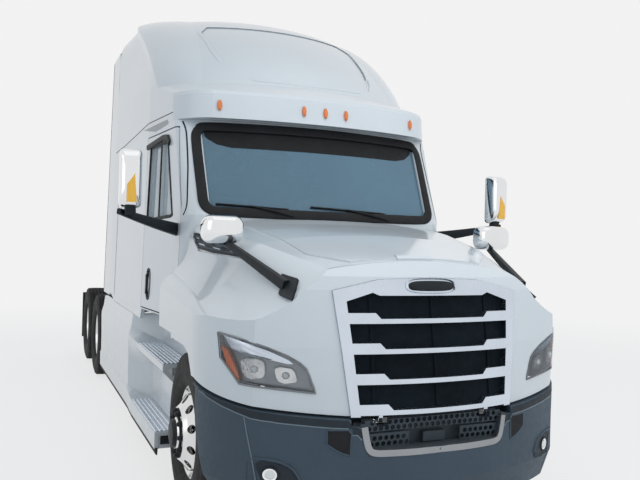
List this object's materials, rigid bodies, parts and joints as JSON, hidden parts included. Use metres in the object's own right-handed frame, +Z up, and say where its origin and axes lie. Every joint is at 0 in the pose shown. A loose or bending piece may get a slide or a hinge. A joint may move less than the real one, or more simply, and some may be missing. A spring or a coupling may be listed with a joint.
{
  "type": "semi truck tractor unit",
  "caption": "Long-nosed truck tractor with raised-roof sleeper cab, tilting hood, barred grille, twin drive axles and fifth wheel.",
  "frame": {"origin": "on the ground under the middle of the tractor's length and width", "axes": "front faces -Y, left side is +X, +Z up"},
  "size_m": [3.143, 8.5, 3.98],
  "materials": {
    "white_paint": "gloss",
    "frame_paint": "satin",
    "engine_grey": "matte",
    "tank_aluminium": "brushed",
    "flap_rubber": "matte",
    "bumper_plastic": "textured",
    "black_plastic": "matte",
    "bright_trim": "satin",
    "clear_glass": "gloss",
    "lamp_lens": "gloss",
    "amber_lens": "gloss",
    "mirror_shell": "polished",
    "seat_fabric": "woven",
    "tyre_rubber": "matte",
    "polished_wheel": "polished"
  },
  "bodies": {
    "chassis": {"frame": "frame_paint", "front_axle_beam": "frame_paint", "front_leaf_springs": "frame_paint", "drive_axles": "frame_paint", "rear_suspension": "frame_paint", "engine_and_gearbox": "engine_grey", "radiator": "engine_grey", "tanks_and_boxes": "tank_aluminium", "deck_plate": "tank_aluminium", "mud_flaps": "flap_rubber", "bumper": "bumper_plastic", "bumper_grille": "bumper_plastic", "cab_shell": "white_paint", "roof_cap": "white_paint", "windshield": "clear_glass", "side_extenders": "white_paint", "chassis_fairings": "white_paint", "fifth_wheel_base": "frame_paint", "interior_trim": "black_plastic", "seats": "seat_fabric", "lamps": "amber_lens"},
    "hood": {"hood_shell": "white_paint", "grille": "bright_trim", "grille_mesh": "black_plastic", "headlamps": "lamp_lens", "hood_mirrors": "mirror_shell"},
    "tie_rod": {"tie_rod": "frame_paint"},
    "fifth_wheel_plate": {"fifth_wheel_plate": "frame_paint"},
    "knuckle_left": {"knuckle_left": "frame_paint"},
    "front_wheel_left": {"front_tyre_left": "tyre_rubber", "front_rim_left": "polished_wheel"},
    "door_left": {"door_left": "white_paint", "door_glass_left": "clear_glass", "door_mirror_left": "mirror_shell"},
    "drive_wheels_front_left": {"drive_tyres_front_left": "tyre_rubber", "drive_rims_front_left": "polished_wheel"},
    "drive_wheels_rear_left": {"drive_tyres_rear_left": "tyre_rubber", "drive_rims_rear_left": "polished_wheel"},
    "knuckle_right": {"knuckle_right": "frame_paint"},
    "front_wheel_right": {"front_tyre_right": "tyre_rubber", "front_rim_right": "polished_wheel"},
    "door_right": {"door_right": "white_paint", "door_glass_right": "clear_glass", "door_mirror_right": "mirror_shell"},
    "drive_wheels_front_right": {"drive_tyres_front_right": "tyre_rubber", "drive_rims_front_right": "polished_wheel"},
    "drive_wheels_rear_right": {"drive_tyres_rear_right": "tyre_rubber", "drive_rims_rear_right": "polished_wheel"}
  },
  "joints": [
    {"name": "steer_left", "type": "hinge", "parent": "chassis", "child": "knuckle_left", "pos_m": [0.84, -3, 0.51], "axis": [0, 0, 1], "range_deg": [-38, 38]},
    {"name": "spin_front_left", "type": "hinge", "parent": "knuckle_left", "child": "front_wheel_left", "pos_m": [1.03, -3, 0.51], "axis": [1, 0, 0], "continuous": true},
    {"name": "spin_front_drive_left", "type": "hinge", "parent": "chassis", "child": "drive_wheels_front_left", "pos_m": [0.915, 2.25, 0.51], "axis": [1, 0, 0], "continuous": true},
    {"name": "spin_rear_drive_left", "type": "hinge", "parent": "chassis", "child": "drive_wheels_rear_left", "pos_m": [0.915, 3.57, 0.51], "axis": [1, 0, 0], "continuous": true},
    {"name": "door_left_hinge", "type": "hinge", "parent": "chassis", "child": "door_left", "pos_m": [1.068, -2.273, 1.93], "axis": [0.02, 0, -0.9998], "range_deg": [0, 65]},
    {"name": "steer_right", "type": "hinge", "parent": "chassis", "child": "knuckle_right", "pos_m": [-0.84, -3, 0.51], "axis": [0, 0, 1], "range_deg": [-38, 38]},
    {"name": "spin_front_right", "type": "hinge", "parent": "knuckle_right", "child": "front_wheel_right", "pos_m": [-1.03, -3, 0.51], "axis": [1, 0, 0], "continuous": true},
    {"name": "spin_front_drive_right", "type": "hinge", "parent": "chassis", "child": "drive_wheels_front_right", "pos_m": [-0.915, 2.25, 0.51], "axis": [1, 0, 0], "continuous": true},
    {"name": "spin_rear_drive_right", "type": "hinge", "parent": "chassis", "child": "drive_wheels_rear_right", "pos_m": [-0.915, 3.57, 0.51], "axis": [1, 0, 0], "continuous": true},
    {"name": "door_right_hinge", "type": "hinge", "parent": "chassis", "child": "door_right", "pos_m": [-1.068, -2.273, 1.93], "axis": [0.02, 0, 0.9998], "range_deg": [0, 65]},
    {"name": "tie_rod_pivot", "type": "hinge", "parent": "knuckle_left", "child": "tie_rod", "pos_m": [0.84, -2.8, 0.374], "axis": [0, 0, 1], "range_deg": [-38, 38]},
    {"name": "hood_tilt", "type": "hinge", "parent": "chassis", "child": "hood", "pos_m": [0, -4.15, 0.785], "axis": [1, 0, 0], "range_deg": [0, 50]},
    {"name": "fifth_wheel_tilt", "type": "hinge", "parent": "chassis", "child": "fifth_wheel_plate", "pos_m": [0, 2.81, 1.105], "axis": [1, 0, 0], "range_deg": [-12, 12]}
  ],
  "couplings": [
    {"joint": "steer_right", "follows": "steer_left", "ratio": 1},
    {"joint": "tie_rod_pivot", "follows": "steer_left", "ratio": -1}
  ]
}
